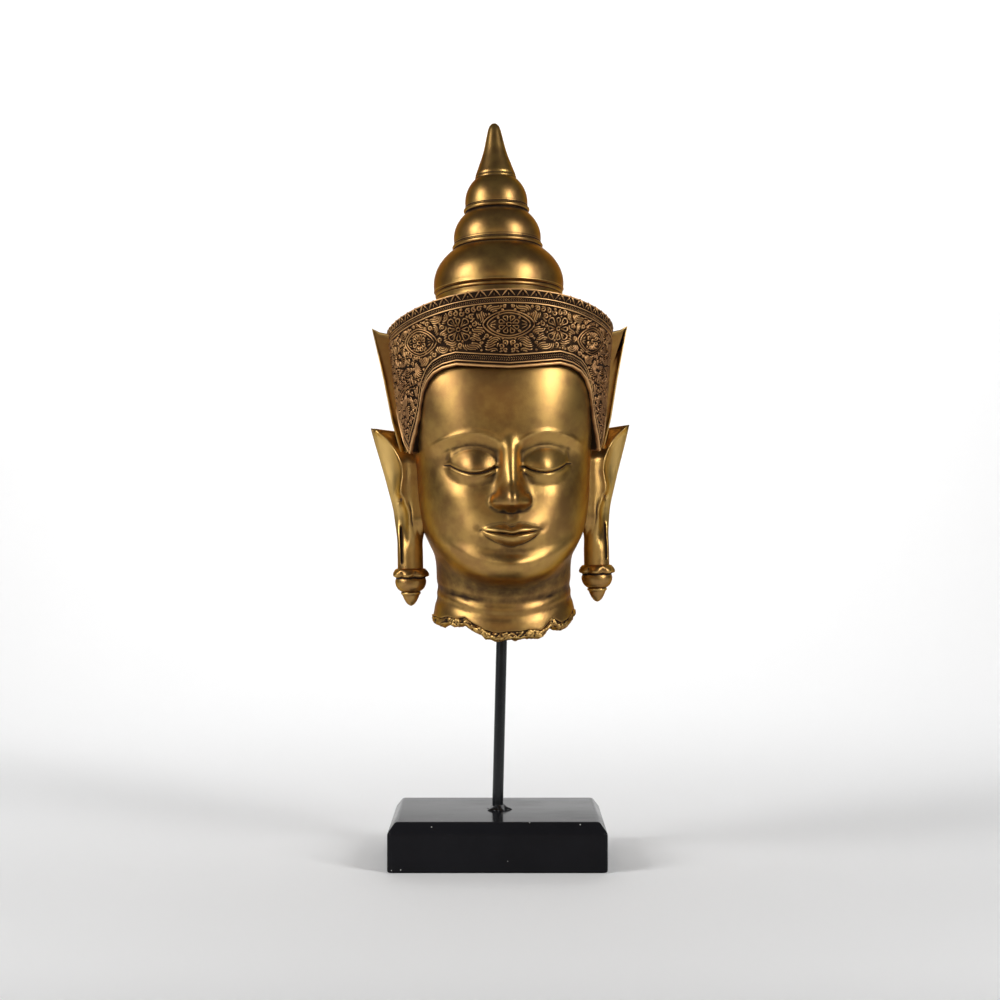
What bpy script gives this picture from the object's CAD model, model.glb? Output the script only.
import math

import bpy
import numpy as np
from mathutils import Euler, Matrix, Vector, noise


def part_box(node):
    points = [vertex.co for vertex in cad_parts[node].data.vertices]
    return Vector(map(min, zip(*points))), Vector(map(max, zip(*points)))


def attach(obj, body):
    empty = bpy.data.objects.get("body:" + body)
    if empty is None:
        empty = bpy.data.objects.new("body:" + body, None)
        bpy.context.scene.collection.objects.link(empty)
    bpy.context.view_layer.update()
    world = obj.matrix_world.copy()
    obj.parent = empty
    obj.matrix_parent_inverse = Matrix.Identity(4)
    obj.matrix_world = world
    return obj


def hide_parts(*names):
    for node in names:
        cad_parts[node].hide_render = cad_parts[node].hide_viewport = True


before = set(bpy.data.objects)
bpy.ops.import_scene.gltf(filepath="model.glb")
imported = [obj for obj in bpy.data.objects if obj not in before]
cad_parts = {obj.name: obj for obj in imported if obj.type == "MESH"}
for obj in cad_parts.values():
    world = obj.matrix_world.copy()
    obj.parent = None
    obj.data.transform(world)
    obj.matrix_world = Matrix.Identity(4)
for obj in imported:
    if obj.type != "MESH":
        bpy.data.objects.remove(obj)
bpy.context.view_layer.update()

# Studio: a pale sheet that runs up behind the piece, tall soft lights to either side of it, a warm card in
# front and a wash of light on the sheet. The camera is level, 1.3 m away and near the middle of the height.
MM = 0.001
CAMERA_DISTANCE = 1300 * MM
CAMERA_HEIGHT = 261.5 * MM
CAMERA_SIDE = 1.8 * MM
VIEW_WIDTH = 732.5 * MM
SENSOR = 36
PALE = (0.93, 0.93, 0.93)
DEEP = (0.1, 0.1, 0.1)
scene = bpy.context.scene


def mesh_object(name, points, faces):
    mesh = bpy.data.meshes.new(name)
    mesh.from_pydata(points, [], faces)
    mesh.update()
    mesh.shade_smooth()
    made = bpy.data.objects.new(name, mesh)
    scene.collection.objects.link(made)
    return made


class Shade:
    """A socket of a material's nodes that can be added, multiplied and so on, as a number can."""

    def __init__(self, socket):
        self.socket = socket

    @classmethod
    def start(cls, name):
        material = bpy.data.materials.new(name)
        material.use_nodes = True
        cls.tree = material.node_tree
        cls.nodes = cls.tree.nodes
        cls.surface = cls.nodes["Principled BSDF"]
        return material

    @classmethod
    def set(cls, socket, value):
        if isinstance(value, Shade):
            cls.tree.links.new(value.socket, socket)
        elif socket.type == "RGBA" and len(value) == 3:
            socket.default_value = (*value, 1)
        else:
            socket.default_value = value

    @classmethod
    def node(cls, kind, settings=None, out=0, **inputs):
        made = cls.nodes.new("ShaderNode" + kind)
        for key, value in (settings or {}).items():
            setattr(made, key, value)
        for key, value in inputs.items():
            name = key.replace("_", " ")
            socket = made.inputs[int(key[1:])] if key[1:].isdigit() else made.inputs[name]
            cls.set(socket, value)
        return Shade(made.outputs[out])

    @classmethod
    def finish(cls, **inputs):
        for key, value in inputs.items():
            cls.set(cls.surface.inputs[key.replace("_", " ")], value)

    def math(self, operation, *others):
        values = {f"i{k}": value for k, value in enumerate((self, *others))}
        return Shade.node("Math", {"operation": operation}, **values)

    def __add__(self, other):
        return self.math("ADD", other)

    __radd__ = __add__

    def __mul__(self, other):
        return self.math("MULTIPLY", other)

    __rmul__ = __mul__

    def __sub__(self, other):
        return self.math("SUBTRACT", other)

    def __rsub__(self, other):
        return Shade.node("Math", {"operation": "SUBTRACT"}, i0=other, i1=self)

    def band(self, low, high):
        """0 below low, 1 above high and a smooth rise between."""
        settings = {"interpolation_type": "SMOOTHSTEP"}
        return Shade.node("MapRange", settings, Value=self, From_Min=low, From_Max=high)

    def tint(self, low, high):
        """The colour low where this is 0 and high where it is 1."""
        return Shade.node("Mix", {"data_type": "RGBA"}, out=2, i0=self, i6=low, i7=high)


def graduated_paper():
    """Paper that is pale behind and under the piece, and shades to grey in front of it."""
    material = Shade.start("graduated_paper")
    place = Shade.node("TexCoord", out=3)
    ahead = Shade.node("SeparateXYZ", Vector=place, out=1)
    Shade.finish(Base_Color=ahead.band(-0.85, -0.28).tint(DEEP, PALE), Roughness=0.8)
    return material


def sheet_of_paper():
    half_width = 3.0
    front = -2.6
    back = 1.5
    bend = 0.6
    top = 2.6
    path = [(front, 0.0), (back - bend, 0.0)]
    path += [
        (back - bend + bend * math.sin(t), bend - bend * math.cos(t))
        for t in np.linspace(0, math.pi / 2, 13)[1:]
    ]
    path.append((back, top))
    points = [(x, y, z) for y, z in path for x in (-half_width, half_width)]
    faces = [(2 * k, 2 * k + 1, 2 * k + 3, 2 * k + 2) for k in range(len(path) - 1)]
    made = mesh_object("paper_sheet", points, faces)
    made.data.materials.append(graduated_paper())


def soft_light(name, place, aim, size, watts, tint=(1, 1, 1)):
    lamp = bpy.data.lights.new(name, "AREA")
    lamp.shape = "RECTANGLE"
    lamp.size, lamp.size_y = size
    lamp.energy = watts
    lamp.color = tint
    holder = bpy.data.objects.new(name, lamp)
    holder.location = place
    holder.rotation_euler = (Vector(aim) - Vector(place)).to_track_quat("-Z", "Y").to_euler()
    scene.collection.objects.link(holder)


sheet_of_paper()
HEAD_MIDDLE = (0, 0, 0.33)
TALL_BOX = (0.36, 0.8)
TALL_STRIP = (0.3, 0.8)
WARM = (1, 0.76, 0.5)
soft_light("left_softbox", (-1.22, -0.6, 0.95), HEAD_MIDDLE, TALL_BOX, 10.5)
soft_light("right_softbox", (1.05, -0.85, 0.9), HEAD_MIDDLE, TALL_BOX, 9.5)
soft_light("left_fill", (-1.1, -1.0, 0.5), HEAD_MIDDLE, TALL_STRIP, 3.4)
soft_light("right_fill", (1.1, -1.0, 0.5), HEAD_MIDDLE, TALL_STRIP, 3.0)
soft_light("front_card", (0, -2.4, 0.5), HEAD_MIDDLE, (2.2, 0.9), 3.0, WARM)
soft_light("back_wash", (0, 0.5, 1.3), (0, 1.5, 0.8), (2.6, 0.4), 19)
world = bpy.data.worlds.new("studio_room")
world.use_nodes = True
world.node_tree.nodes["Background"].inputs["Color"].default_value = (0.9, 0.95, 1, 1)
world.node_tree.nodes["Background"].inputs["Strength"].default_value = 0.07
scene.world = world
scene.view_settings.view_transform = "Standard"

camera = bpy.data.cameras.new("camera")
camera.sensor_width = SENSOR
camera.lens = SENSOR * CAMERA_DISTANCE / VIEW_WIDTH
camera.dof.use_dof = False
eye = bpy.data.objects.new("camera", camera)
eye.location = (CAMERA_SIDE, -CAMERA_DISTANCE, CAMERA_HEIGHT)
eye.rotation_euler = (math.pi / 2, 0, 0)
scene.collection.objects.link(eye)
scene.camera = eye

# Block: a slab of hardwood with a chamfer round its top, sanded and sprayed with black gloss lacquer. The
# coats soften its arrises, and a few specks of pale dust lie on it.
BLOCK_LOW, BLOCK_HIGH = (np.array(corner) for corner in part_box("block"))
CHAMFER_INSET = 5.5 * MM
CHAMFER_DROP = 7.5 * MM
BLOCK_CORNER = 3 * MM
SHARPEST_CORNER = 0.6 * MM
ARRIS = 1.8 * MM
LACQUER = (0.011, 0.011, 0.013)
LACQUER_SMEAR = (0.008, 0.008, 0.009)
LACQUER_DUST = (0.42, 0.42, 0.4)


def place_on(stretch=(1, 1, 1)):
    """The object's own coordinates in metres, stretched."""
    place = Shade.node("TexCoord", out=3)
    return Shade.node("VectorMath", {"operation": "MULTIPLY"}, i0=place, i1=stretch)


def cloud(place, scale, detail=4):
    return Shade.node("TexNoise", Vector=place, Scale=scale, Detail=detail, Roughness=0.55)


def stacked_faces(rows, columns):
    """The faces of a closed skin over rows of points, numbered row by row from the foot."""
    faces = [tuple(reversed(range(columns)))]
    for r in range(rows - 1):
        for c in range(columns):
            n = (c + 1) % columns
            faces.append((r * columns + c, r * columns + n, (r + 1) * columns + n, (r + 1) * columns + c))
    faces.append(tuple((rows - 1) * columns + c for c in range(columns)))
    return faces


def lacquered_block():
    half = (BLOCK_HIGH[:2] - BLOCK_LOW[:2]) / 2
    middle = (BLOCK_HIGH[:2] + BLOCK_LOW[:2]) / 2
    height = BLOCK_HIGH[2]

    def eased(a, b, c):
        """The arc that eases the corner b between a and c, in the (inset, height) plane."""
        a, b, c = (np.array(v, float) for v in (a, b, c))
        start = b + (a - b) * min(1, ARRIS / np.linalg.norm(a - b))
        end = b + (c - b) * min(1, ARRIS / np.linalg.norm(c - b))
        return [(1 - t) ** 2 * start + 2 * t * (1 - t) * b + t * t * end for t in np.linspace(0, 1, 6)]

    underside = (3 * MM, 0)
    foot = (0, 0)
    side = (0, 5 * MM)
    shoulder = (0, height - CHAMFER_DROP)
    rim = (CHAMFER_INSET, height)
    top = (20 * MM, height)
    sections = [*eased(underside, foot, side), *eased(side, shoulder, rim), *eased(shoulder, rim, top)]
    corner_steps = 8
    points = []
    for inset, level in sections:
        radius = max(BLOCK_CORNER - 0.25 * inset, SHARPEST_CORNER)
        for k, sign in enumerate(((1, 1), (-1, 1), (-1, -1), (1, -1))):
            centre = middle + np.array(sign) * (half - inset - radius)
            for step in range(corner_steps + 1):
                turn = math.radians(90 * (k + step / corner_steps))
                points.append((*(centre + radius * np.array([math.cos(turn), math.sin(turn)])), level))
    faces = stacked_faces(len(sections), 4 * (corner_steps + 1))
    return mesh_object("block_lacquered", points, faces)


def lacquer():
    material = Shade.start("black_lacquer")
    place = place_on()
    orange_peel = cloud(place, 210, detail=1)
    sag = cloud(place, 26, detail=2)
    smear = cloud(place_on((1, 2.2, 1)), 17, detail=5)
    specks = Shade.node("TexVoronoi", {"feature": "F1"}, Vector=place, Scale=160)
    fleck = 1 - specks.band(0.06, 0.09)
    sparse = cloud(place, 31, detail=0).band(0.58, 0.62)
    dust = fleck * sparse
    haze = smear.band(0.4, 0.75)
    Shade.finish(
        Base_Color=dust.tint(haze.tint(LACQUER, LACQUER_SMEAR), LACQUER_DUST),
        Roughness=0.14 + 0.1 * haze + 0.5 * dust,
        Specular_IOR_Level=0.05,
    )
    height = 0.35 * orange_peel + sag
    Shade.finish(Normal=Shade.node("Bump", Height=height, Strength=0.06, Distance=0.4 * MM))
    return material


block = lacquered_block()
block.data.materials.append(lacquer())
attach(block, "root")
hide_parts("block")

# Bead: a ring of two-part putty pressed by hand round the rod's foot and painted black with it. It spreads
# over the block in five uneven points.
BEAD_LOW, BEAD_HIGH = (np.array(corner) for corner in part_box("rod_foot_bead"))
BEAD_MIDDLE = (BEAD_LOW + BEAD_HIGH) / 2
ROD_RADIUS = 4 * MM
BEAD_POINTS = 5
PUTTY_BLACK = (0.006, 0.006, 0.007)
PUTTY_SMEAR = (0.03, 0.03, 0.031)


def putty_bead():
    steps = 72
    rings = 16
    reach = (BEAD_HIGH[0] - BEAD_LOW[0]) / 2 - ROD_RADIUS
    height = BEAD_HIGH[2] - BEAD_LOW[2]
    points = []
    for r in range(rings + 1):
        up = r / rings
        for c in range(steps):
            turn = 2 * math.pi * c / steps
            star = 0.48 + 0.46 * abs(math.cos(BEAD_POINTS / 2 * turn)) ** 3 + 0.06 * math.sin(3 * turn + 1)
            lump = 0.13 * noise.noise(Vector((2.1 * math.cos(turn), 2.1 * math.sin(turn), 2.5 * up)))
            out = ROD_RADIUS + reach * (star + lump) * (1 - up) ** 1.2 * 0.98 + 0.1 * MM
            rise = height * (up ** 0.8) * (1 + 0.2 * math.sin(3 * turn) * up)
            x = BEAD_MIDDLE[0] + out * math.cos(turn)
            y = BEAD_MIDDLE[1] + out * math.sin(turn)
            points.append((x, y, BEAD_LOW[2] - 0.25 * MM + min(rise, height * 1.1)))
    return mesh_object("bead_of_putty", points, stacked_faces(rings + 1, steps))


def painted_putty():
    material = Shade.start("painted_putty")
    place = place_on()
    pits = cloud(place, 420, detail=3)
    smears = cloud(place, 120, detail=3)
    rubbed = smears.band(0.5, 0.75)
    Shade.finish(
        Base_Color=rubbed.tint(PUTTY_BLACK, PUTTY_SMEAR),
        Roughness=0.1 + 0.16 * smears,
        Normal=Shade.node("Bump", Height=0.3 * pits + smears, Strength=0.6, Distance=0.6 * MM),
    )
    return material


bead = putty_bead()
bead.data.materials.append(painted_putty())
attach(bead, "root")
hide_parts("rod_foot_bead")

# Rod: 8 mm bright steel bar, painted black and rubbed down to a soft sheen. It is glued into a hole in the
# block and runs up into the neck, a degree or so out of plumb.
ROD_LEAN = math.radians(1.4)
ROD_FREE = 130 * MM
ROD_BELOW = 25 * MM
ROD_ABOVE = 46 * MM
BLOCK_TOP = BLOCK_HIGH[2]
ROD_BLACK = (0.006, 0.007, 0.0085)
ROD_WORN = (0.016, 0.018, 0.02)


def steel_rod():
    steps = 48
    ease = 0.5 * MM
    lengths = [-ROD_BELOW, -ROD_BELOW + ease]
    lengths += list(np.linspace(-ROD_BELOW + 2 * ease, ROD_FREE + ROD_ABOVE - 2 * ease, 40))
    lengths += [ROD_FREE + ROD_ABOVE - ease, ROD_FREE + ROD_ABOVE]
    points = []
    for k, along_rod in enumerate(lengths):
        radius = ROD_RADIUS - (ease if k in (0, len(lengths) - 1) else 0)
        for c in range(steps):
            turn = 2 * math.pi * c / steps
            point = Vector((radius * math.cos(turn), radius * math.sin(turn), along_rod))
            point.rotate(Euler((0, ROD_LEAN, 0)))
            points.append(point + Vector((0, 0, BLOCK_TOP)))
    return mesh_object("rod_painted", points, stacked_faces(len(lengths), steps))


def rubbed_paint():
    material = Shade.start("rubbed_black_paint")
    rub = cloud(place_on((1, 1, 0.06)), 900, detail=3)
    patches = cloud(place_on((1, 1, 0.4)), 60, detail=4)
    worn = patches.band(0.55, 0.8)
    Shade.finish(
        Base_Color=worn.tint(ROD_BLACK, ROD_WORN),
        Roughness=0.16 + 0.14 * patches,
        Specular_IOR_Level=0.4,
        Normal=Shade.node("Bump", Height=rub + 0.5 * patches, Strength=0.12, Distance=0.2 * MM),
    )
    return material


rod = steel_rod()
rod.data.materials.append(rubbed_paint())
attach(rod, "root")
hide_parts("rod")

# Head: one hollow casting in resin, its neck left broken off, set on the rod as it stands. It is painted
# gold with a brown glaze wiped off the high places, and a redder bronze over the crown's carving.
HEAD_SCALE = 1.0 * MM
HEAD_SHIFT = 2.2 * MM
HEAD_PLACE = (ROD_FREE * math.tan(ROD_LEAN) + HEAD_SHIFT, 0, BLOCK_TOP + ROD_FREE)
HEAD_ROLL = math.radians(-1)
HEAD_TURN = math.radians(4.5)
GILT = 0
BRONZE = 1
GOLD_EDGE = (0.74, 0.48, 0.16)
GOLD = (0.47, 0.283, 0.086)
DULL_GOLD = (0.35, 0.192, 0.066)
GLAZE = (0.03, 0.018, 0.012)
GRAZING = (0.42, 0.26, 0.13)
BRONZE_EDGE = (0.95, 0.57, 0.24)
BRONZE_PAINT = (0.58, 0.32, 0.13)
DULL_BRONZE = (0.36, 0.185, 0.085)
DARK_GLAZE = (0.024, 0.014, 0.009)

# Neck, jaw and skull: the plain egg under the features, in millimetres from the break up. Each row gives
# the front's reach and height, the side's reach, y and height, and the back's reach and height.
HEAD_RINGS = np.array([
    [45, -1, 53, 3, 9, 50, 6],
    [44.5, 8, 51.5, 3, 16, 48.5, 15],
    [44, 18, 50, 3, 26, 47.5, 26],
    [44, 27, 49.3, 3, 37, 47, 38],
    [47, 34, 49.3, 2, 48, 48, 50],
    [58, 38, 50.5, 1, 57, 52, 62],
    [68, 43, 54, 0, 65, 58, 74],
    [73, 52, 58, -2, 74, 65, 87],
    [71.5, 62, 60.5, -3, 84, 70, 99],
    [72, 74, 62, -3, 94, 73, 110],
    [71.5, 88, 63, -3, 105, 75, 121],
    [70.5, 104, 63.5, -3, 117, 76, 132],
    [70, 122, 65, -3, 130, 76, 144],
    [73, 140, 69, -2, 145, 75.5, 157],
    [74.5, 158, 72.5, -1, 162, 74, 170],
    [74, 176, 74.5, 0, 180, 71, 184],
    [71, 194, 75, 0, 196, 68, 196],
], dtype=float)
HAIRLINE = 190
CHIN = 40
THIRD = (HAIRLINE - CHIN) / 3
BROW_LEVEL = CHIN + 2 * THIRD
NOSE_BASE = CHIN + THIRD
FACE_WIDTH = 128
EYE_WIDTH = FACE_WIDTH / 5
EYE_LEVEL = BROW_LEVEL - 0.36 * THIRD
MOUTH_LEVEL = NOSE_BASE - THIRD / 3
MOUTH_HALF = 0.8 * EYE_WIDTH
HEAD_COLUMNS = 220
BREAK_EDGE = np.array([
    [-180, 6],
    [-130, 8],
    [-95, 7],
    [-60, 6.5],
    [-38, 7.5],
    [-30, 3.5],
    [-20, -2],
    [0, -3],
    [26, -1.5],
    [38, 5],
    [48, 2.2],
    [56, 3.5],
    [64, 7],
    [84, 10.5],
    [130, 9],
    [180, 6],
])
BREAK_BAND = 6.6
NECK_SHARE = 0.19
NECK_INSIDE = 14
SKULL_TOP = 200


def clamp01(v):
    return np.clip(v, 0, 1)


def smooth(v):
    v = clamp01(v)
    return v * v * (3 - 2 * v)


def bell(v):
    return np.exp(-v * v)


def dome(v, power=0.5):
    return np.maximum(0, 1 - v) ** power


def mix(a, b, t):
    return a + (b - a) * t


def merged(a, b, k):
    """The higher of two swellings, with a hollow of size k filled in where they meet."""
    top = np.maximum(a, b)
    return top + np.maximum(k - np.abs(a - b), 0) ** 2 / (4 * k) * smooth(top / k)


def along(rows, t):
    """A smooth curve through rows of numbers, at share t of the way from the first row to the last."""
    rows = np.asarray(rows, float)
    last = len(rows) - 1
    at = clamp01(np.asarray(t, float)) * last
    i = np.minimum(last - 1, np.floor(at).astype(int))
    f = (at - i)[..., None]
    a, b, d, e = (rows[np.clip(i + k, 0, last)] for k in (-1, 0, 1, 2))
    return b + 0.5 * f * (d - a + f * (2 * a - 5 * b + 4 * d - e + f * (3 * (b - d) + e - a)))


def plan_point(angle, front, side, side_y, back, square):
    """A point of a level plan that reaches front, side and back, at an angle from the front."""
    c = np.cos(angle)
    s = np.sin(angle)
    power = 2 / square
    x = side * np.sign(s) * np.abs(s) ** power
    reach = np.where(c > 0, -(front + side_y), back - side_y)
    return x, side_y + reach * np.abs(c) ** power


def rough(points, size, seed):
    """Grain of a size in millimetres, about -1 to 1, at an array of points."""
    points = np.asarray(points, float)
    values = [noise.noise(Vector(p)) for p in points.reshape(-1, 3) / size + seed]
    return np.array(values).reshape(points.shape[:-1])


def bending(rings, step=1):
    """How sharply a grid of rings bends, per millimetre: above 0 on an edge and below 0 in a crease."""
    padded = np.concatenate([rings[:1]] * step + [rings] + [rings[-1:]] * step)
    pairs = ((padded[:-2 * step], padded[2 * step:]), (np.roll(rings, step, 1), np.roll(rings, -step, 1)))
    normal = np.cross(pairs[1][1] - pairs[1][0], pairs[0][1] - pairs[0][0])
    normal /= np.linalg.norm(normal, axis=2, keepdims=True) + 1e-9
    total = np.zeros(rings.shape[:2])
    for before, after in pairs:
        length = ((before - rings) ** 2).sum(2) + ((after - rings) ** 2).sum(2)
        total -= ((before + after - 2 * rings) * normal).sum(2) / (0.5 * length + 0.05)
    total = np.clip(total, -1.5, 1.5)
    beside = np.roll(total, 1, 1) + np.roll(total, -1, 1)
    return 0.5 * total + 0.25 * beside


class Casting:
    """The head's surfaces as they are gathered: points, faces and each point's finish."""

    def __init__(self):
        self.points = []
        self.faces = []
        self.metal = []
        self.glaze = []
        self.count = 0

    def add(self, points, faces, metal, glaze):
        self.points.append(np.asarray(points, float))
        self.faces.append(np.asarray(faces) + self.count)
        self.metal.append(np.full(len(faces), metal))
        self.glaze.append(np.asarray(glaze, float))
        self.count += len(points)

    def skin(self, rings, first, last, metal, shade=0.0):
        """A closed surface over rings of points, with a point closing each end."""
        rings = np.asarray(rings, float)
        rows, columns = rings.shape[:2]
        c = np.arange(columns)
        n = (c + 1) % columns
        r = np.arange(rows - 1)[:, None]
        a = 1 + r * columns + c
        b = 1 + r * columns + n
        quads = [np.stack([a, b, b + columns], -1), np.stack([a, b + columns, a + columns], -1)]
        end = 1 + rows * columns
        bottom = np.stack([0 * c, 1 + n, 1 + c], -1)
        top = np.stack([0 * c + end, end - columns + c, end - columns + n], -1)
        faces = np.concatenate([bottom, *[q.reshape(-1, 3) for q in quads], top])
        points = np.concatenate([[first], rings.reshape(-1, 3), [last]])
        wash = np.clip(4 * bending(rings, 4), -0.5, 0.1) if metal == GILT else 0
        glaze = np.concatenate([[0], (bending(rings) + wash + shade).reshape(-1), [0]])
        self.add(points, faces, metal, glaze)


casting = Casting()


def brow_arc(a):
    return BROW_LEVEL - 6 + 9.5 * np.sin(np.pi * clamp01((a - 3) / 53) ** 0.85)


def eye_relief(a, z):
    """Brow ridge, socket, and the closed lids over the ball of the eye."""
    e = (a - EYE_WIDTH) / (0.6 * EYE_WIDTH)
    lens = np.maximum(0, 1 - e * e)
    brow = brow_arc(a)
    brow_span = smooth((a - 2) / 10) * smooth((58 - a) / 14)
    socket = smooth((brow - z) / 9) * smooth((z - NOSE_BASE - 8) / 24)
    d = -3.6 * socket * smooth((a - 2) / 9) * smooth((58 - a) / 22)
    d += 0.9 * bell((z - brow) / 1.7) * brow_span
    d += 7.2 * dome(((a - EYE_WIDTH) / 20) ** 2 + ((z - EYE_LEVEL + 1.5) / 15) ** 2, 1.7)
    upper = EYE_LEVEL - 1.0 - 5.0 * lens + 0.9 * e
    span = smooth((1.14 - np.abs(e)) / 0.2)
    tail = smooth((1.35 - np.abs(e)) / 0.3)
    d += 1.2 * smooth((z - upper + 0.2) / 1.1) * smooth((upper + 17 - z) / 16) * span
    d -= 1.0 * bell((z - upper + 0.8) / 0.8) * tail
    d += 0.7 * bell((z - upper + 2.9) / 1.6) * span
    fold = EYE_LEVEL + 10.6 - 6.4 * e * e + 0.4 * e
    return d - 0.3 * bell((z - fold) / 1.5) * smooth((1.2 - np.abs(e)) / 0.4)


def nose_relief(a, z):
    down = clamp01((BROW_LEVEL + 2 - z) / (THIRD - 6))
    height = 2.4 + 12.6 * down ** 1.2
    half = 5.4 + 2.8 * down ** 1.4
    bridge = height * np.exp(-((a / half) ** 2.1))
    tip = 17.6 * dome((a / 11.6) ** 2 + ((z - NOSE_BASE - 8) / 13) ** 2, 1.1)
    wing = 9.2 * dome(((a - 8) / 7) ** 2 + ((z - NOSE_BASE - 5.4) / 7.6) ** 2, 1.0)
    under = smooth((z - NOSE_BASE + 3.2 - 1.4 * (a / 12) ** 2) / 7)
    nostril = 1.8 * bell((a - 4.8) / 2.2) * bell((z - NOSE_BASE + 0.2) / 1.7)
    whole = merged(merged(bridge, tip, 9), wing, 6)
    return whole * under * smooth((BROW_LEVEL + 6 - z) / 14) - nostril


def mouth_relief(a, z):
    m = a / MOUTH_HALF
    span = np.maximum(0, 1 - m * m)
    line = MOUTH_LEVEL + 2.2 * m * m - 0.7 * bell(a / 4)
    top = 6.6 * span ** 0.75 - 1.4 * bell(a / 3.2) * (m < 1)
    bottom = 8.4 * span ** 0.75
    up = clamp01((z - line) / np.maximum(0.6, top))
    low = clamp01((line - z) / np.maximum(0.6, bottom))
    d = 3.4 * bell(a / 24) * bell((z - MOUTH_LEVEL) / 15)
    d += 3.9 * np.sin(np.pi * up ** 0.6) ** 0.9 * span ** 0.7
    d += 5.0 * np.sin(np.pi * low ** 0.62) ** 0.9 * span ** 0.7
    d += 0.55 * bell((z - line - top) / 1.1) * smooth((1.05 - m) / 0.25)
    d -= 1.1 * bell((z - line) / 0.8) * smooth((1.1 - m) / 0.25)
    d -= 0.5 * bell((m - 1.08) / 0.15) * bell((z - line) / 3)
    philtrum = smooth((z - MOUTH_LEVEL - 7) / 4) * smooth((NOSE_BASE - 1 - z) / 4)
    return d + philtrum * (0.25 * bell((a - 4.4) / 2) - 0.45 * bell(a / 2.8))


def face_relief(x, z):
    """How far the face stands out from the plain egg, x from its middle and z up."""
    a = np.abs(x)
    beak = nose_relief(a, z)
    d = eye_relief(a, z) * (1 - smooth(beak / 6)) + beak + mouth_relief(a, z)
    d += 3.6 * bell(a / 13) * bell((z - CHIN - 11) / 8.5)
    d -= 2.0 * bell(a / 15) * bell((z - MOUTH_LEVEL + 13) / 4.5)
    return d + 2.2 * bell((a - 35) / 16) * bell((z - NOSE_BASE - 14) / 19)


def break_height(angle):
    degrees = (np.degrees(angle) + 180) % 360 - 180
    ragged = 0.5 * np.sin(11 * angle) + 0.4 * np.sin(19 * angle + 2)
    return np.interp(degrees, BREAK_EDGE[:, 0], BREAK_EDGE[:, 1]) + ragged


def broken_rim(edge, angle):
    """The rings of the break: an incised line, then granular resin that turns in under the neck."""
    incised = [(6.2, 0.1), (5.7, 0.9), (5.2, 0.1)]
    crumbled = [(4.5, -0.5), (3.8, -0.8), (3.1, -0.9), (2.4, -0.8), (1.7, -0.6), (1.0, -0.2)]
    inner = [(0.4, 0.5), (-0.2, 1.5), (-0.4, 3), (-0.1, 5), (0.5, 8), (1.4, 12), (3, 22)]
    rings = []
    for rise, inset in (*incised, *crumbled, *inner):
        ring = edge.copy()
        ring[:, :2] *= 1 - inset / np.linalg.norm(edge[:, :2], axis=1, keepdims=True)
        ring[:, 2] = break_height(angle) + rise
        rings.append(ring)
    rings = np.array(rings[::-1])
    fine = rough(rings, 1.35, 5)
    coarse = rough(rings, 3.1, 11)
    grain = fine + coarse
    for far in (fine, coarse, grain):
        far[-2:] = 0
    outward = rings[..., :2] / np.linalg.norm(rings[..., :2], axis=2, keepdims=True)
    rings[..., :2] += outward * (1.3 * fine + 1.2 * coarse)[..., None]
    rings[..., 2] += 0.7 * fine + 1.6 * coarse
    return rings, grain


def face_columns():
    """Angles round the head, close together over the face and further apart behind."""
    angle = np.linspace(-np.pi, np.pi, 4001)
    crowd = 1 + 2.4 * smooth((math.radians(62) - np.abs(angle)) / math.radians(16))
    reached = np.cumsum(crowd)
    return np.interp(np.arange(HEAD_COLUMNS) / HEAD_COLUMNS * reached[-1], reached, angle)


def face_levels():
    """Heights of the head's rings at the middle of the face, closest at the mouth, nose and lids."""
    limits = (-1, 45, 62, 84, 98, 111, 133, 147, 163, 194)
    counts = (26, 12, 33, 18, 10, 33, 12, 10, 9)
    bands = zip(limits, limits[1:], counts)
    return np.concatenate([np.linspace(low, high, count, endpoint=False) for low, high, count in bands])


def neck_and_face():
    angle = face_columns()
    grid = np.linspace(0, 1, 4001)
    fronts = along(HEAD_RINGS, grid)[:, 1]
    t = np.interp(face_levels(), fronts, grid)
    front, front_z, side, side_y, side_z, back, back_z = along(HEAD_RINGS, t).T[:, :, None]
    share = np.cos(angle)[None, :]
    square = mix(2, 2.2, smooth((t - 0.25) / 0.15))[:, None]
    x, y = plan_point(angle[None, :], front, side, side_y, back, square)
    z = mix(side_z, np.where(share > 0, front_z, back_z), share * share)
    out = face_relief(x, z) * smooth((share - 0.05) / 0.35) * smooth((t[:, None] - 0.26) / 0.1)
    dip = np.maximum(share, 0) ** 2
    folds = bell((z - 34 + 11 * dip) / 3.4) + 0.9 * bell((z - 26 + 12.5 * dip) / 3.2)
    below_jaw = smooth((0.28 - t[:, None]) / 0.05)
    shrink = 1 - 1.2 * folds * below_jaw / np.hypot(x, y)
    x = x * shrink
    y = y * shrink
    foot = break_height(angle)[None, :] + BREAK_BAND
    neck_top = z[np.argmin(np.abs(t - NECK_SHARE))][None, :]
    stretched = foot + (z - z[:1]) * (neck_top - foot) / (neck_top - z[:1])
    level = np.where(z < neck_top, stretched, z)
    for c in range(HEAD_COLUMNS):
        x[:, c] = np.interp(level[:, c], z[:, c], x[:, c])
        y[:, c] = np.interp(level[:, c], z[:, c], y[:, c])
    rings = np.stack([x, y - out, level], -1)
    broken, grain = broken_rim(rings[0], angle)
    shade = np.zeros((len(broken) + len(rings), HEAD_COLUMNS))
    shade[:len(broken)] = 1.5 * grain - 0.1
    shade[len(broken) - 2:len(broken)] = -0.7
    shaded = np.maximum(smooth((level - 18) / 12), 1 - smooth(share / 0.6)[None, :])
    under_jaw = smooth((0.4 - t[:, None]) / 0.16)
    shade[len(broken):] = -0.6 * under_jaw * shaded * smooth(share + 1)
    casting.skin(np.concatenate([broken, rings]), (0, 0, NECK_INSIDE), (0, 0, SKULL_TOP), GILT, shade)


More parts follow.
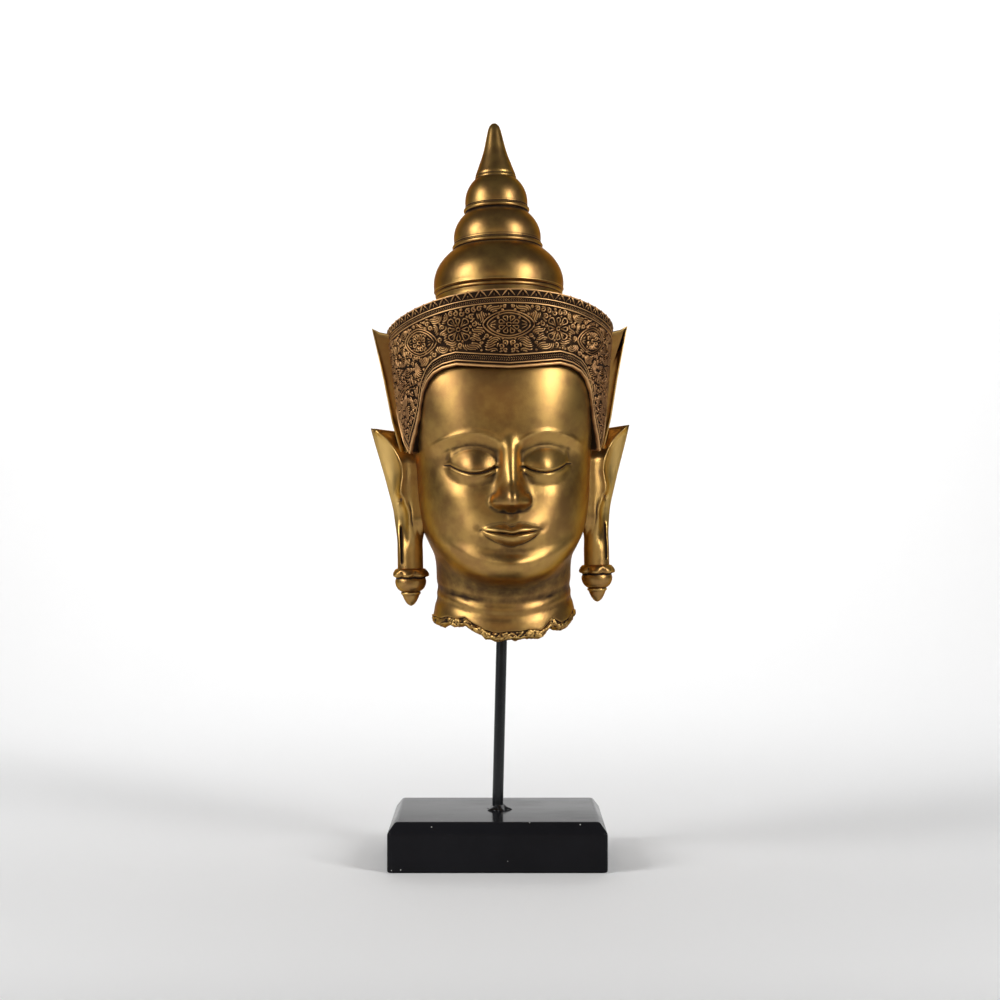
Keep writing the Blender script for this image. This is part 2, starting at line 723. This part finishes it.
neck_and_face()

# Crown: a carved band that flares from the brow, higher in front, with a toothed rim, beaded borders and a
# smooth rolled edge against the face. The carving ends behind the ears, and the back is plain.
CROWN_FLARE = 0.1
CROWN_RADIUS = 80
CARVED_HALF = 88
RIM_LOW = 220.7
RIM_RISE = 20.8
RIM_FALL = 4
RIM_WALL = 4.5
RIM_DEPTH = 9
CROWN_UNDERSIDE = 178
LOW_BORDER = 10
TOP_BORDER = 10.4
FIELD_OUT = 0.2
MOTIF_STEP = 24
MOTIF_DROP = 24.3
MEDALLION_WIDTH = 32.5
MEDALLION_HEIGHT = 19
PANEL_START = (47, 183)
PANEL_END = (80, 167)
RIDGE_PITCH = 1.42
BEAD_PITCH = 1.45
TOOTH_PITCH = 8.6
SPIRE_FOOT = 240
CROWN_EDGE = np.array([
    [0, 187.2],
    [13, 188.4],
    [26, 190],
    [34, 188],
    [40, 184.8],
    [44.5, 180],
    [49, 172],
    [54, 155],
    [58.5, 144.5],
    [67.7, 130],
    [75, 138],
    [84, 158],
    [96, 177],
    [124, 186],
    [152, 188],
    [180, 188],
])


def edge_height(angle):
    return np.interp(np.degrees(np.abs(angle)), CROWN_EDGE[:, 0], CROWN_EDGE[:, 1])


def rim_height(angle):
    c = np.cos(angle)
    return RIM_LOW + np.where(c > 0, RIM_RISE * np.abs(c) ** 1.6, -RIM_FALL * c * c)


def crown_point(angle, z, out):
    up = (z - HAIRLINE) * CROWN_FLARE + out
    x, y = plan_point(angle, 78 + up, 78.4 + up, -2, 75 + up, 2.1)
    return np.stack(np.broadcast_arrays(x, y, z), -1)


def crown_band():
    front = np.radians(np.linspace(-CARVED_HALF, CARVED_HALF, 225))
    back = np.radians(np.linspace(CARVED_HALF, 360 - CARVED_HALF, 50)[1:-1])
    angle = np.concatenate([front, back])
    angle = np.where(angle > np.pi, angle - 2 * np.pi, angle)
    low = edge_height(angle)
    top = rim_height(angle)
    roll = [(0, 0.1), (0.25, 1.0), (0.8, 1.6), (1.4, 1.6), (1.9, 1.0), (2.3, 0.1), (2.8, 0.1)]
    low_ridges = [(3.2, 0.5), (3.7, 1.1), (4.2, 0.5), (4.6, 0.2)]
    low_ridges += [(8.2, 0.2), (8.6, 0.5), (9.1, 1.1), (9.6, 0.5)]
    top_ridges = [(10.0, 0.5), (9.5, 1.1), (9.0, 0.5), (8.7, 0.2)]
    top_ridges += [(6.5, 0.2), (6.1, 0.5), (5.7, 1.0), (5.3, 0.3)]
    rim = [(1.0, 0.2), (0.4, 0.7), (0, 0.5), (-0.2, -0.1), (0, 0.6 - RIM_WALL), (0.5, -RIM_WALL)]
    steps = [(low + 1.5, -14, -1.2), (low + 0.5, -2, -1.2)]
    steps += [(low + up, out, 0.1 if out > 0.5 else -0.8) for up, out in roll]
    steps += [(low + up, out, 0.3 if out > 1 else -1) for up, out in low_ridges]
    steps += [(mix(low + LOW_BORDER, top - TOP_BORDER, k / 3), FIELD_OUT, -1) for k in range(4)]
    steps += [(top - down, out, 0.3 if out > 0.9 else -1) for down, out in top_ridges]
    steps += [(top - down, out, -1.2 if down > 0.5 else 0) for down, out in rim]
    steps.append((top - RIM_DEPTH, -RIM_WALL - 1, -0.6))
    rings = [crown_point(angle, z, out) for z, out, _ in steps]
    carved = smooth((CARVED_HALF + 4 - np.degrees(np.abs(angle))) / 4)
    shade = np.array([mix(-0.7, tone, carved) for _, _, tone in steps])
    casting.skin(rings, (0, 0, CROWN_UNDERSIDE), (0, 0, SPIRE_FOOT), BRONZE, shade)


crown_band()
carved_lines = []


def ridge(angle, z, path, width=1.1, height=1.35):
    """A carved ridge, along a path of (across, up) points in millimetres from a place on the crown."""
    path = np.asarray(path, float)
    carved_lines.append(path + np.array([angle * CROWN_RADIUS, z]))
    ahead = np.gradient(path, axis=0)
    ahead /= np.linalg.norm(ahead, axis=1, keepdims=True) + 1e-9
    across = np.stack([-ahead[:, 1], ahead[:, 0]], -1)
    taper = np.ones(len(path))
    taper[[0, -1]] = 0.4
    rows = []
    for side, out in ((0.5, -0.3), (0, height), (-0.5, -0.3)):
        line = path + across * side * width * taper[:, None]
        lift = FIELD_OUT + out * (taper if out > 0 else 1)
        rows.append(crown_point(angle + line[:, 0] / CROWN_RADIUS, z + line[:, 1], lift))
    n = len(path)
    faces = [(0, 2, 1), (3 * n - 3, 3 * n - 2, 3 * n - 1)]
    for a in range(0, 3 * n - 3, 3):
        for i, j in ((0, 1), (1, 2), (2, 0)):
            faces += [(a + i, a + j, a + 3 + j), (a + i, a + 3 + j, a + 3 + i)]
    away = abs(math.degrees(angle + path[:, 0].mean() / CROWN_RADIUS))
    side_on = float(smooth((away - 38) / 20))
    foot = -1.1 - 1.4 * side_on
    crest = 1 - 0.5 * side_on
    casting.add(np.stack(rows, 1).reshape(-1, 3), faces, BRONZE, np.tile([foot, crest, foot], n))


def petal(width, length, turn, start, steps=9):
    """The looped outline of a petal that leaves its flower's middle at a turn."""
    t = np.linspace(0, 1, steps)
    reach = start + length * np.sin(np.pi * t) ** 0.8
    swing = 0.5 * width * np.sin(2 * np.pi * t) / (start + 0.6 * length)
    return np.stack([reach * np.cos(turn + swing), reach * np.sin(turn + swing)], -1)


def pinched(v):
    return np.sign(v) * np.abs(v) ** 1.25


def medallion(angle, z):
    t = np.linspace(0, 2 * np.pi, 33)
    for share in (1.0, 0.83):
        across = 0.5 * MEDALLION_WIDTH * share * pinched(np.cos(t))
        up = 0.5 * MEDALLION_HEIGHT * share * pinched(np.sin(t))
        ridge(angle, z, np.stack([across, up], -1), 1.2, 1.3 * share)
    for k in range(8):
        ridge(angle, z, petal(2.4, 4.1, 2 * np.pi * (k + 0.5) / 8, 2.1), 0.9)
    ridge(angle, z, np.stack([1.3 * np.cos(t[::3]), 1.3 * np.sin(t[::3])], -1), 0.9, 1.5)
    for side in (-1, 1):
        for up in (-1, 0, 1):
            ridge(angle, z, [(side * 7.8, up * 2.8), (side * 9.4, up * 1.9), (side * 11.6, up * 0.6)], 1.0)


def flower(angle, z):
    for k in range(4):
        turn = np.pi * (k + 0.5) / 2
        ridge(angle, z, petal(3.8, 7.2, turn, 2.2, 11), 1.0, 1.2)
        ridge(angle, z, [(reach * np.cos(turn), reach * np.sin(turn)) for reach in (4, 7.4)], 1.0)
        ridge(angle, z, petal(2.6, 5.4, np.pi * k / 2, 2.2, 9), 0.9)
    t = np.linspace(0, 2 * np.pi, 11)
    ridge(angle, z, np.stack([1.3 * np.cos(t), 1.3 * np.sin(t)], -1), 0.9, 1.5)


def main_motifs():
    for k in range(-3, 4):
        angle = np.radians(k * MOTIF_STEP)
        z = rim_height(angle) - MOTIF_DROP
        flower(angle, z) if k % 2 else medallion(angle, z)


def panel_ridges():
    """The double ridge that parts off each lower corner as a panel of its own."""
    for side in (-1, 1):
        for drop in (0, 2.4):
            t = np.linspace(0, 1, 14)
            across = side * (mix(np.radians(PANEL_START[0]), np.radians(PANEL_END[0]), t) * CROWN_RADIUS)
            up = mix(PANEL_START[1], PANEL_END[1], t) + 3.5 * np.sin(np.pi * t) - drop
            ridge(0, 0, np.stack([across, up], -1), 1.2, 1.3)


def curl(kind, length, turn, hand):
    """A short path that bends as a C, as an S or into a closing spiral."""
    t = np.linspace(0, 1, 4 + int(length * 0.8))
    bends = {"c": 3.2 * t, "s": 7 * (t - t * t), "spiral": 6.5 * t ** 1.6}
    heading = turn + hand * bends[kind]
    path = np.cumsum(np.stack([np.cos(heading), np.sin(heading)], -1), 0) * length / len(t)
    return path - path.mean(0)


def leafwork():
    """Curls that fill the ground between the motifs, larger ones first, the same on both sides."""
    random = np.random.default_rng(7)
    cell = 0.25
    spacing = 1.24
    low_end = np.array([-3.0, 125.0])
    widest = np.radians(CARVED_HALF - 1.5) * CROWN_RADIUS
    across = np.arange(low_end[0], widest + 4, cell)
    up = np.arange(low_end[1], 240, cell)
    angle = across[:, None] / CROWN_RADIUS
    free = (up > edge_height(angle) + LOW_BORDER + 0.5) & (up < rim_height(angle) - TOP_BORDER - 0.5)
    free &= (across > 0.6)[:, None] & (across < widest)[:, None]
    reach = np.arange(-int(spacing / cell), int(spacing / cell) + 1)
    disc = np.array([(i, j) for i in reach for j in reach if math.hypot(i, j) * cell <= spacing])

    def cells(path):
        return ((path - low_end) / cell).astype(int)

    def close(path):
        near = (cells(path)[:, None] + disc).reshape(-1, 2)
        inside = ((near >= 0) & (near < free.shape)).all(1)
        free[tuple(near[inside].T)] = False

    def fits(path):
        spots = cells(path)
        inside = (spots >= 0).all() and (spots < free.shape).all()
        return inside and free[tuple(spots.T)].all()

    def carve(path):
        close(path)
        for side in (1, -1):
            ridge(0, 0, path * np.array([side, 1]), 1.4, 1.3)

    def beside(path, gap):
        """The longest free stretch of a path that runs beside another."""
        ahead = np.gradient(path, axis=0)
        ahead /= np.linalg.norm(ahead, axis=1, keepdims=True) + 1e-9
        line = path + gap * np.stack([-ahead[:, 1], ahead[:, 0]], -1)
        open_here = np.array([fits(line[k:k + 1]) for k in range(len(line))], bool)
        runs = np.split(np.arange(len(line)), np.flatnonzero(~open_here))
        longest = max(runs, key=len)
        return line[longest[open_here[longest]]]

    def grow(path, further):
        """Carves a path and, as far as there is room, others that run beside it."""
        carve(path)
        for gap in (RIDGE_PITCH, -RIDGE_PITCH):
            line = beside(path, gap)
            if further and len(line) > 3:
                grow(line, further - 1)

    for path in list(carved_lines):
        close(path[path[:, 0] > -2])
    motifs = [np.radians(k * MOTIF_STEP) for k in range(4)]
    centres = np.array([[m * CROWN_RADIUS, rim_height(m) - MOTIF_DROP] for m in motifs])
    kinds = ("c", "s", "s", "spiral")
    for length, tries in ((10, 6), (8, 8), (6.4, 8), (5, 8), (3.8, 8), (2.8, 6)):
        places = np.argwhere(free)[::7]
        random.shuffle(places)
        for place in places:
            if not free[tuple(place)]:
                continue
            centre = place * cell + low_end
            away = centre - centres
            nearest = away[np.argmin((away ** 2).sum(1))]
            for _ in range(tries):
                hand = random.choice((-1, 1))
                turn = math.atan2(nearest[1], nearest[0]) + hand * math.pi / 2 + random.uniform(-1.2, 1.2)
                kind = kinds[random.integers(4)]
                path = centre + curl(kind, length, turn, hand)
                if not fits(path):
                    continue
                grow(path, 0 if kind == "spiral" else 2)
                break


def borders():
    """The teeth along the rim, and the rows of slanting beads that the plain ridges enclose."""
    def slope(height, angle):
        return (height(angle + 0.01) - height(angle - 0.01)) / (0.02 * CROWN_RADIUS)

    steepest = 2.5
    pitch = BEAD_PITCH / CROWN_RADIUS
    count = int(np.radians(CARVED_HALF) / pitch)
    for angle in np.arange(-count, count + 1) * pitch:
        rise = slope(edge_height, angle)
        if abs(rise) < steepest:
            for lean, up in ((0.5, 5.6), (-0.5, 7.1)):
                path = [(-0.45, -lean - 0.45 * rise), (0.45, lean + 0.45 * rise)]
                ridge(angle, edge_height(angle) + up, path, 0.9, 0.8)
        rise = slope(rim_height, angle)
        for lean, down in ((0.35, 7.1), (-0.35, 8.1)):
            path = [(-0.4, -lean - 0.4 * rise), (0.4, lean + 0.4 * rise)]
            ridge(angle, rim_height(angle) - down, path, 0.85, 0.7)
    pitch = TOOTH_PITCH / CROWN_RADIUS
    count = int(np.radians(CARVED_HALF) / pitch)
    for angle in np.arange(-count, count + 1) * pitch:
        top = rim_height(angle)
        rise = slope(rim_height, angle)
        for side in (-1, 1):
            path = [(side * 3.7, -4.7 + side * 3.7 * rise), (side * 1.7, -2 + side * 1.7 * rise), (0, 0.4)]
            ridge(angle, top, path, 1.3, 1.3)
        ridge(angle, top, [(0, -4.3), (0, -2.6)], 1.3, 1.1)


main_motifs()
panel_ridges()
leafwork()
borders()

# Fins: a plain flat flange down each side of the crown, cast with it, from a sharp tip level with the rim to
# the point of the crown's corner. Its outer edge is a thin raised bead.
FIN_OUTLINE = [
    (60, 146),
    (71, 129.5),
    (74, 131),
    (80.2, 155),
    (85.6, 185),
    (93.4, 222.4),
    (88, 219.6),
    (80, 218),
    (60, 213),
]
FIN_Y = -6
FIN_FRONT = -1.2
FIN_BACK = 1.7


def fin(side):
    outline = np.array(FIN_OUTLINE, float)
    ahead = np.roll(outline, -1, 0) - outline
    ahead /= np.linalg.norm(ahead, axis=1, keepdims=True)
    inward = ahead + np.roll(ahead, 1, 0)
    inward = np.stack([-inward[:, 1], inward[:, 0]], -1)
    inward /= np.linalg.norm(inward, axis=1, keepdims=True)
    steps = [(4, FIN_FRONT, 0), (1.5, FIN_FRONT, -0.15), (1.2, -1.9, 0.2), (0.5, -2.1, 1), (0, -1.7, 1)]
    steps += [(0, 1.3, 0.4), (0.6, FIN_BACK, 0)]
    rings = []
    for inset, y, _ in steps:
        ring = outline + inward * inset
        ring = np.column_stack([side * ring[:, 0], np.full(len(ring), FIN_Y + y), ring[:, 1]])
        rings.append(ring if side < 0 else ring[::-1])
    middle = outline.mean(0)
    first = (side * middle[0], FIN_Y + FIN_FRONT, middle[1])
    last = (side * middle[0], FIN_Y + FIN_BACK, middle[1])
    casting.skin(rings, first, last, GILT, np.array([[tone] for _, _, tone in steps]))


for side in (-1, 1):
    fin(side)

# Ears: long and outspread, each a scooped shell whose ridge curls in from the tip and runs down to a small
# ear hole, above a round lobe with a cut slit. From each lobe hangs a drop like an acorn in a ruff of petals,
# cast with it.
LOBE_X = 68.3
LOBE_Y = -2
EAR_ROWS = 60
EAR_SLIT = 74.7
EAR_HOLE = 97.5
EAR_PROFILE = [
    [46, 77.4, 70],
    [61, 77.6, 70],
    [76, 78.6, 69.5],
    [90, 79.9, 70],
    [103, 82.9, 75],
    [117, 86.4, 73.6],
    [129, 89.7, 76],
    [140, 92.7, 82],
    [147, 94.5, 89.5],
]
EAR_TIP = 150.5
EAR_TIP_REACH = 95.3
EAR_TIP_RIDGE = EAR_TIP_REACH - 3.4
DROP_TIP = 20.6
DROP_TOP = 48
DROP_RUFF = [(0, DROP_TOP), (9.2, DROP_TOP), (11.8, 46.6), (12.9, 44.4), (12.2, 42.5), (10.6, 41.4)]
DROP_ACORN = [(11.2, 39.6), (11.3, 37.6), (10.6, 35), (9.2, 32.8), (7.2, 31.3), (6.7, 30.9)]
DROP_POINT = [(7.3, 30.2), (7.1, 29.3), (6.2, 28.4), (5.5, 26.6), (4.4, 24.4), (3.2, 22.6), (1.6, 21.2)]
DROP_PROFILE = [*DROP_RUFF, *DROP_ACORN, *DROP_POINT, (0, DROP_TIP)]


def closed_curve(points, steps):
    """A smooth closed curve through points."""
    points = np.asarray(points, float)
    n = len(points)
    t = np.arange(n * steps) / steps
    i = np.floor(t).astype(int)
    f = (t - i)[:, None]
    a, b, d, e = (points[(i + k) % n] for k in (-1, 0, 1, 2))
    return b + 0.5 * f * (d - a + f * (2 * a - 5 * b + 4 * d - e + f * (3 * (b - d) + e - a)))


def ear_cut(z, outer, inner_ridge):
    """A level cut of the ear, from the cheek over the ridge to the rim and back behind."""
    column = 1 - smooth((z - 58) / 28)
    hollow = smooth((z - 124) / 16)
    inner = mix(56, 59, column)
    leaf = [
        (inner, -14 + 14 * hollow),
        (64.5, -15 + 15 * hollow),
        (mix(68, inner_ridge - 3, 0.5), -14 + 12 * hollow),
        (inner_ridge, -12 + 6 * hollow),
        (mix(inner_ridge, outer, 0.4), -3),
        (outer - 2, 1),
        (outer, 4),
        (outer - 2, 7),
        (mix(68, outer, 0.4), 12),
        (64, 14),
        (inner, 14),
        (inner, 0),
    ]
    turn = np.pi + (np.arange(12) - 0.5) / 12 * 2 * np.pi
    lobe = np.stack([LOBE_X + 9.3 * np.cos(turn), LOBE_Y + 8.6 * np.sin(turn)], -1)
    curve = closed_curve(mix(np.array(leaf, float), lobe, column), 7)
    x, y = curve.T
    in_front = smooth((2 - y) / 4)
    raised = 1.3 * bell((x - inner_ridge) / 1.6) + 0.9 * bell((x - outer + 1.2) / 1.2)
    y = y - in_front * (1 - column) * raised
    y = y + in_front * 2.4 * bell((x - EAR_SLIT) / 0.75) * smooth((z - 51) / 2) * smooth((80 - z) / 3)
    y = y + in_front * 4.5 * bell((x - EAR_SLIT) / 1.8) * bell((z - EAR_HOLE) / 2.4)
    return np.column_stack([x, y, np.full(len(x), z)])


def ear(side):
    cuts = [along(EAR_PROFILE, t) for t in np.linspace(0, 1, EAR_ROWS)]
    cuts.append((EAR_TIP, EAR_TIP_REACH, EAR_TIP_RIDGE))
    rings = np.array([ear_cut(*cut) for cut in cuts])
    tip = rings[-1]
    tip[:, 1] = tip[:, 1] * 0.6 + 1.5
    tip[:, 2] -= 0.16 * (EAR_TIP_REACH - tip[:, 0])
    first = np.array([LOBE_X, LOBE_Y, EAR_PROFILE[0][0]])
    last = np.array([76.0, 3.0, EAR_TIP - 2.6])
    if side < 0:
        rings = (rings * np.array([-1, 1, 1]))[:, ::-1]
        first[0] *= -1
        last[0] *= -1
    across = np.abs(rings[..., 0])
    level = rings[..., 2]
    slit = bell(across - EAR_SLIT) * smooth((level - 50) / 2) * smooth((80 - level) / 3)
    hole = 0.8 * bell((across - EAR_SLIT) / 1.4) * bell((level - EAR_HOLE) / 2.2)
    in_front = smooth((4 - rings[..., 1]) / 3)
    inner_ridge = np.array(cuts)[:, 2:]
    rubbed_rim = smooth((across - inner_ridge) / 3) * smooth((level - 66) / 24)
    rubbed_lobe = bell((across - LOBE_X + 3) / 4) * smooth((80 - level) / 20)
    shade = (1.6 * rubbed_rim + 1.1 * rubbed_lobe - 2 * (slit + hole)) * in_front
    casting.skin(rings, first, last, GILT, shade)


def ear_drop(side):
    turn = np.arange(48) / 48 * 2 * np.pi
    profile = along(DROP_PROFILE[::-1], np.linspace(0, 1, 42))[1:-1]
    rings = []
    shade = []
    for radius, z in profile:
        ruff = bell((z - 44.2) / 2.2)
        scallop = np.abs(np.cos(3.5 * turn)) ** 0.7
        r = radius * (1 + 0.2 * ruff * (scallop - 0.7))
        level = z - 3 * ruff * (scallop - 0.6)
        shade.append(-1.3 * ruff * (1 - scallop) ** 1.5 - 0.5 * bell(z - 41))
        rings.append(np.stack([side * LOBE_X + r * np.cos(turn), LOBE_Y + r * np.sin(turn), level], -1))
    ends = [(side * LOBE_X, LOBE_Y, level) for level in (DROP_TIP, DROP_TOP)]
    casting.skin(rings, *ends, GILT, np.array(shade))


for side in (-1, 1):
    ear(side)
    ear_drop(side)

# Spire: three round buns, each on a thin grooved rim, under a tall tapering cone, all cast with the crown.
# It leans back a little.
BUN_RADII = [47.6, 32, 23]
BUN_FLOORS = [5.5, 41, 68.5]
BUN_WAISTS = [14.3, 49, 75.5]
BUN_DOMES = [35.2, 26, 23.3]
BUN_TOPS = [40.5, 68, 93]
CONE_LIP = [(15.2, 93.4), (15.2, 94.6), (14.4, 95.3), (14.8, 96.2), (14.2, 97.8)]
CONE_SIDE = [(13, 101), (11.6, 105), (10.1, 109), (8.8, 113), (7.6, 117.5), (6.6, 122), (5.7, 126)]
CONE_TOP = [(4.8, 130), (3.6, 133.2), (1.8, 135)]
CONE_TIP = 135.3
SPIRE_COLUMNS = 88
SPIRE_BACK_LEAN = math.radians(5)
SPIRE_SIDE_LEAN = math.radians(0.2)


def spire():
    profile = [(47, -12), (46, 4.5)]
    for radius, floor, waist, height, top in zip(BUN_RADII, BUN_FLOORS, BUN_WAISTS, BUN_DOMES, BUN_TOPS):
        lip = radius - 1 if radius == BUN_RADII[0] else radius + 1.2
        rim = [(lip - 1.4, 0), (lip - 0.3, 0.2), (lip, 0.9), (lip, 1.7), (lip - 0.35, 2.3), (lip - 1.3, 2.7)]
        rim += [(lip - 1.3, 3.1), (radius - 0.3, 3.6), (radius, 4.2)]
        profile += [(r, floor + up) for r, up in rim]
        for z in np.linspace(floor + 4.9, top, 22):
            profile.append((radius * float(dome(((z - waist) / height) ** 2)), z))
    profile += CONE_LIP + CONE_SIDE + CONE_TOP
    turn = np.arange(SPIRE_COLUMNS) / SPIRE_COLUMNS * 2 * np.pi
    side_lean = Euler((0, -SPIRE_SIDE_LEAN, 0)).to_matrix()
    lean = np.array(side_lean @ Euler((-SPIRE_BACK_LEAN, 0, 0)).to_matrix())
    foot = np.array([0, 0, SPIRE_FOOT])
    rings = []
    for r, z in profile:
        ring = np.stack([r * np.cos(turn), r * np.sin(turn), np.full(SPIRE_COLUMNS, z)], -1)
        rings.append(ring @ lean.T + foot)
    first = lean @ np.array([0, 0, profile[0][1]]) + foot
    last = lean @ np.array([0, 0, CONE_TIP]) + foot
    heights = np.array([z for _, z in profile])[:, None]
    upper_buns = smooth((heights - BUN_FLOORS[1] + 4) / 4) * smooth((BUN_TOPS[2] - heights) / 4)
    casting.skin(rings, first, last, GILT, -0.2 * upper_buns - 0.15)


spire()


# The casting whole: its forms are joined in one mesh, leant and turned as it stands on the rod, and painted.
def cast_head():
    points = np.concatenate(casting.points)
    faces = np.concatenate(casting.faces)
    place = Matrix.Translation(HEAD_PLACE) @ Euler((0, HEAD_ROLL, 0)).to_matrix().to_4x4()
    matrix = np.array(place @ Euler((0, 0, HEAD_TURN)).to_matrix().to_4x4())
    points = points * HEAD_SCALE @ matrix[:3, :3].T + matrix[:3, 3]
    mesh = bpy.data.meshes.new("head_casting")
    mesh.vertices.add(len(points))
    mesh.vertices.foreach_set("co", points.ravel())
    mesh.loops.add(3 * len(faces))
    mesh.loops.foreach_set("vertex_index", faces.ravel())
    mesh.polygons.add(len(faces))
    mesh.polygons.foreach_set("loop_start", np.arange(0, 3 * len(faces), 3))
    mesh.polygons.foreach_set("material_index", np.concatenate(casting.metal).astype(np.int32))
    mesh.update(calc_edges=True)
    mesh.shade_smooth()
    glaze = mesh.attributes.new("glaze", "FLOAT", "POINT")
    glaze.data.foreach_set("value", np.concatenate(casting.glaze).astype(np.float32))
    made = bpy.data.objects.new("head_casting", mesh)
    scene.collection.objects.link(made)
    return made


def glazed_metal(name, bright, mid, dull, recess, roughness, full_below, none_above):
    """Metallic paint with a dark glaze left in its creases and rubbed off its high edges."""
    material = Shade.start(name)
    place = place_on()
    blotch = cloud(place, 24)
    mottle = cloud(place, 130)
    grain = cloud(place, 1500, detail=2)
    glaze = Shade.node("Attribute", {"attribute_name": "glaze"}, out=2) + 0.5 * (mottle - 0.5)
    left = 1 - glaze.band(full_below, none_above)
    rubbed = glaze.band(0.3, 1.2)
    shine = (0.6 * blotch + 0.4 * mottle).band(0.4, 0.62)
    color = rubbed.tint(shine.tint(dull, mid), bright)
    Shade.finish(
        Base_Color=left.tint(color, recess),
        Metallic=0.96 - 0.5 * left,
        Roughness=roughness + 0.2 * left + 0.14 * (mottle - 0.5),
        Specular_IOR_Level=0.2,
        Specular_Tint=GRAZING,
    )
    height = 0.1 * blotch + 0.15 * mottle + 0.25 * grain
    Shade.finish(Normal=Shade.node("Bump", Height=height, Strength=0.35, Distance=0.8 * MM))
    return material


head = cast_head()
GOLD_COATS = (GOLD_EDGE, GOLD, DULL_GOLD, GLAZE)
BRONZE_COATS = (BRONZE_EDGE, BRONZE_PAINT, DULL_BRONZE, DARK_GLAZE)
gold = glazed_metal("antique_gold", *GOLD_COATS, roughness=0.34, full_below=-1.05, none_above=-0.15)
bronze = glazed_metal("antique_bronze", *BRONZE_COATS, roughness=0.42, full_below=-1, none_above=-0.5)
head.data.materials.append(gold)
head.data.materials.append(bronze)
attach(head, "root")
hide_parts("head")
